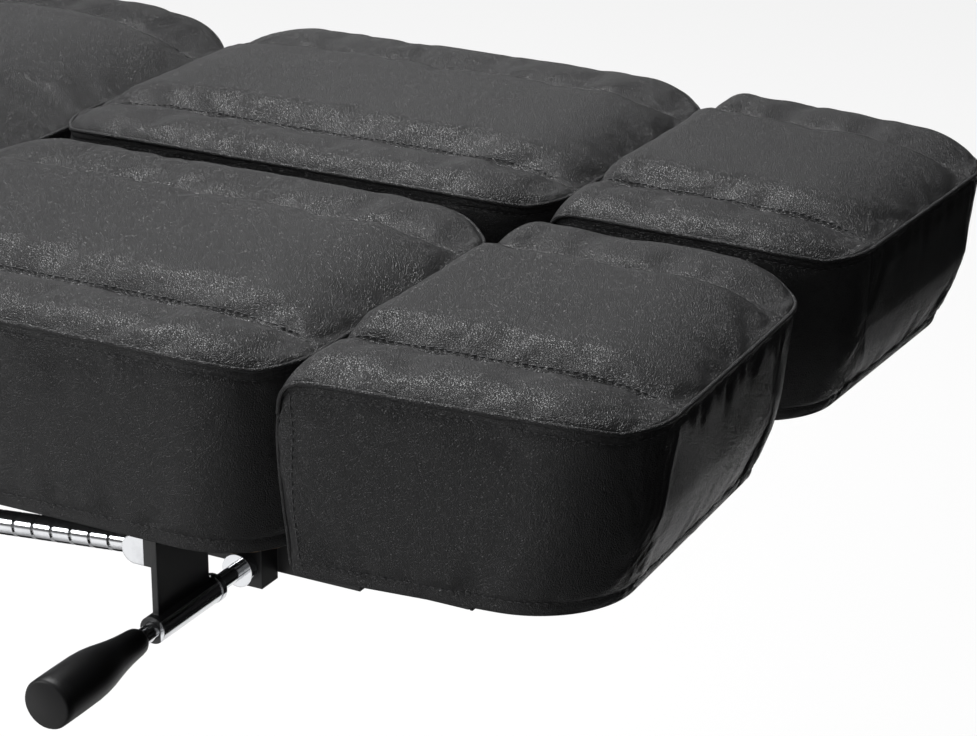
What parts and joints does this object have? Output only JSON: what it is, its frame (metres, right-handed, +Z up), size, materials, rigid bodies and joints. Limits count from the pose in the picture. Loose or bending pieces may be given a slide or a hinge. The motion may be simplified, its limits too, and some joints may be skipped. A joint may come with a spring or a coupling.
{
  "type": "tattoo chair",
  "caption": "Flat-folding tattoo chair with a hydraulic pedal lift, reclining back, headrest, two armrests, and two drop legs with sliding foot pads on ratchet stays.",
  "frame": {"origin": "on the floor, on the axis of the lift column, at the underside of the centre foot", "axes": "+X along the chair to the feet, +Y to the far side (the sitter's left), +Z up"},
  "size_m": [2.014, 0.87, 0.9433],
  "materials": {
    "black_leather": "satin pebble-grained upholstery vinyl",
    "plywood": "raw plywood behind the upholstery",
    "black_steel": "satin black powder coat",
    "chrome": "polished chrome plate",
    "zinc_steel": "bright zinc plate",
    "black_rubber": "matt moulded rubber",
    "black_plastic": "matt moulded plastic"
  },
  "bodies": {
    "base": {"base_plate": "black_steel", "base_cover": "black_steel", "base_feet": "black_rubber", "pump_body": "black_steel", "pump_collar": "chrome", "pump_bolts": "zinc_steel"},
    "pedal": {"pump_pedal": "black_steel", "pedal_tread": "black_rubber"},
    "ram": {"lift_ram": "chrome"},
    "seat": {"swivel_hub": "black_steel", "seat_bolts": "zinc_steel", "seat_frame": "black_steel", "seat_board": "plywood", "seat_cushion": "black_leather", "leg_hinge_rod": "zinc_steel", "back_side_plates": "black_steel", "arm_brackets": "black_steel"},
    "lever": {"recline_lever": "chrome", "recline_grip": "black_plastic"},
    "gas_cylinder": {"gas_cylinder": "black_steel"},
    "gas_rod": {"gas_rod": "chrome"},
    "back": {"back_frame": "black_steel", "back_board": "plywood", "back_cushion": "black_leather"},
    "headrest_slide": {"headrest_rods": "chrome"},
    "headrest": {"headrest_board": "plywood", "headrest_cushion": "black_leather"},
    "headrest_knob": {"headrest_knob": "black_plastic"},
    "arm_post_near": {"arm_post_near": "chrome"},
    "arm_pad_near": {"arm_plate_near": "black_steel", "arm_cushion_near": "black_leather"},
    "arm_knob_near": {"arm_knob_near": "black_plastic"},
    "leg_near": {"leg_frame_near": "black_steel", "leg_board_near": "plywood", "leg_cushion_near": "black_leather", "leg_hanger_near": "chrome"},
    "stay_tube_near": {"stay_tube_near": "chrome"},
    "stay_bar_near": {"stay_bar_near": "chrome"},
    "clamp_near": {"clamp_rod_near": "chrome", "clamp_grip_near": "black_plastic"},
    "foot_near": {"foot_slide_near": "black_steel", "foot_board_near": "plywood", "foot_cushion_near": "black_leather"},
    "arm_post_far": {"arm_post_far": "chrome"},
    "arm_pad_far": {"arm_plate_far": "black_steel", "arm_cushion_far": "black_leather"},
    "arm_knob_far": {"arm_knob_far": "black_plastic"},
    "leg_far": {"leg_frame_far": "black_steel", "leg_board_far": "plywood", "leg_cushion_far": "black_leather", "leg_hanger_far": "chrome"},
    "stay_tube_far": {"stay_tube_far": "chrome"},
    "stay_bar_far": {"stay_bar_far": "chrome"},
    "clamp_far": {"clamp_rod_far": "chrome", "clamp_grip_far": "black_plastic"},
    "foot_far": {"foot_slide_far": "black_steel", "foot_board_far": "plywood", "foot_cushion_far": "black_leather"}
  },
  "joints": [
    {"name": "pedal_press", "type": "hinge", "parent": "base", "child": "pedal", "pos_m": [0, -0.084, 0.132], "axis": [1, 0, 0], "range_deg": [0, 14], "stiffness_Nm_per_rad": 60, "springref_deg": -5.73},
    {"name": "lift", "type": "slide", "parent": "base", "child": "ram", "axis": [0, 0, 1], "range_m": [-0.12, 0.06]},
    {"name": "swivel", "type": "hinge", "parent": "ram", "child": "seat", "pos_m": [0, 0, 0.66], "axis": [0, 0, 1], "continuous": true},
    {"name": "lever_lift", "type": "hinge", "parent": "seat", "child": "lever", "pos_m": [-0.19, 0, 0.6], "axis": [0, 1, 0], "range_deg": [0, 22], "stiffness_Nm_per_rad": 4, "springref_deg": -17.19},
    {"name": "back_recline", "type": "hinge", "parent": "seat", "child": "back", "pos_m": [-0.276, 0, 0.785], "axis": [0, 1, 0], "range_deg": [0, 65]},
    {"name": "gas_cylinder_tilt", "type": "hinge", "parent": "seat", "child": "gas_cylinder", "pos_m": [-0.136, 0, 0.54251], "axis": [0, 1, 0], "range_deg": [0, 32.5]},
    {"name": "gas_rod_tilt", "type": "hinge", "parent": "back", "child": "gas_rod", "pos_m": [-0.43257, 0, 0.55287], "axis": [0, 1, 0], "range_deg": [-32.5, 0]},
    {"name": "headrest_extend", "type": "slide", "parent": "back", "child": "headrest_slide", "axis": [-1, 0, 0], "range_m": [0, 0.08]},
    {"name": "headrest_tilt", "type": "hinge", "parent": "headrest_slide", "child": "headrest", "pos_m": [-1.099, 0, 0.67], "axis": [0, 1, 0], "range_deg": [-35, 12]},
    {"name": "headrest_knob_turn", "type": "hinge", "parent": "back", "child": "headrest_knob", "pos_m": [-0.948, 0.07, 0.66], "axis": [0, 0, 1], "range_deg": [0, 360]},
    {"name": "arm_height_near", "type": "slide", "parent": "seat", "child": "arm_post_near", "axis": [0, 0, 1], "range_m": [-0.06, 0.08]},
    {"name": "arm_swivel_near", "type": "hinge", "parent": "arm_post_near", "child": "arm_pad_near", "pos_m": [-0.12, -0.37, 0.88], "axis": [0, 0, -1], "range_deg": [0, 90]},
    {"name": "arm_knob_turn_near", "type": "hinge", "parent": "seat", "child": "arm_knob_near", "pos_m": [-0.12, -0.37, 0.65], "axis": [0, 1, 0], "range_deg": [0, 360]},
    {"name": "leg_drop_near", "type": "hinge", "parent": "seat", "child": "leg_near", "pos_m": [0.235, 0, 0.645], "axis": [0, 1, 0], "range_deg": [0, 80]},
    {"name": "stay_tube_tilt_near", "type": "hinge", "parent": "seat", "child": "stay_tube_near", "pos_m": [-0.03549, -0.266, 0.5954], "axis": [0, 1, 0], "range_deg": [0, 40]},
    {"name": "stay_bar_tilt_near", "type": "hinge", "parent": "leg_near", "child": "stay_bar_near", "pos_m": [0.51, -0.266, 0.646], "axis": [0, 1, 0], "range_deg": [-40, 0]},
    {"name": "clamp_turn_near", "type": "hinge", "parent": "leg_near", "child": "clamp_near", "pos_m": [0.524, -0.153, 0.603], "axis": [0, 1, 0], "range_deg": [0, 90]},
    {"name": "foot_extend_near", "type": "slide", "parent": "leg_near", "child": "foot_near", "axis": [1, 0, 0], "range_m": [0, 0.1]},
    {"name": "arm_height_far", "type": "slide", "parent": "seat", "child": "arm_post_far", "axis": [0, 0, 1], "range_m": [-0.06, 0.08]},
    {"name": "arm_swivel_far", "type": "hinge", "parent": "arm_post_far", "child": "arm_pad_far", "pos_m": [-0.12, 0.37, 0.88], "axis": [0, 0, 1], "range_deg": [0, 90]},
    {"name": "arm_knob_turn_far", "type": "hinge", "parent": "seat", "child": "arm_knob_far", "pos_m": [-0.12, 0.37, 0.65], "axis": [0, 1, 0], "range_deg": [0, 360]},
    {"name": "leg_drop_far", "type": "hinge", "parent": "seat", "child": "leg_far", "pos_m": [0.235, 0, 0.645], "axis": [0, 1, 0], "range_deg": [0, 80]},
    {"name": "stay_tube_tilt_far", "type": "hinge", "parent": "seat", "child": "stay_tube_far", "pos_m": [-0.03549, 0.266, 0.5954], "axis": [0, 1, 0], "range_deg": [0, 40]},
    {"name": "stay_bar_tilt_far", "type": "hinge", "parent": "leg_far", "child": "stay_bar_far", "pos_m": [0.51, 0.266, 0.646], "axis": [0, 1, 0], "range_deg": [-40, 0]},
    {"name": "clamp_turn_far", "type": "hinge", "parent": "leg_far", "child": "clamp_far", "pos_m": [0.524, 0.153, 0.603], "axis": [0, 1, 0], "range_deg": [0, 90]},
    {"name": "foot_extend_far", "type": "slide", "parent": "leg_far", "child": "foot_far", "axis": [1, 0, 0], "range_m": [0, 0.1]}
  ],
  "couplings": [
    {"joint": "gas_cylinder_tilt", "follows": "back_recline", "ratio": 0.5},
    {"joint": "gas_rod_tilt", "follows": "back_recline", "ratio": -0.5},
    {"joint": "stay_tube_tilt_near", "follows": "leg_drop_near", "ratio": 0.5},
    {"joint": "stay_bar_tilt_near", "follows": "leg_drop_near", "ratio": -0.5},
    {"joint": "stay_tube_tilt_far", "follows": "leg_drop_far", "ratio": 0.5},
    {"joint": "stay_bar_tilt_far", "follows": "leg_drop_far", "ratio": -0.5}
  ]
}
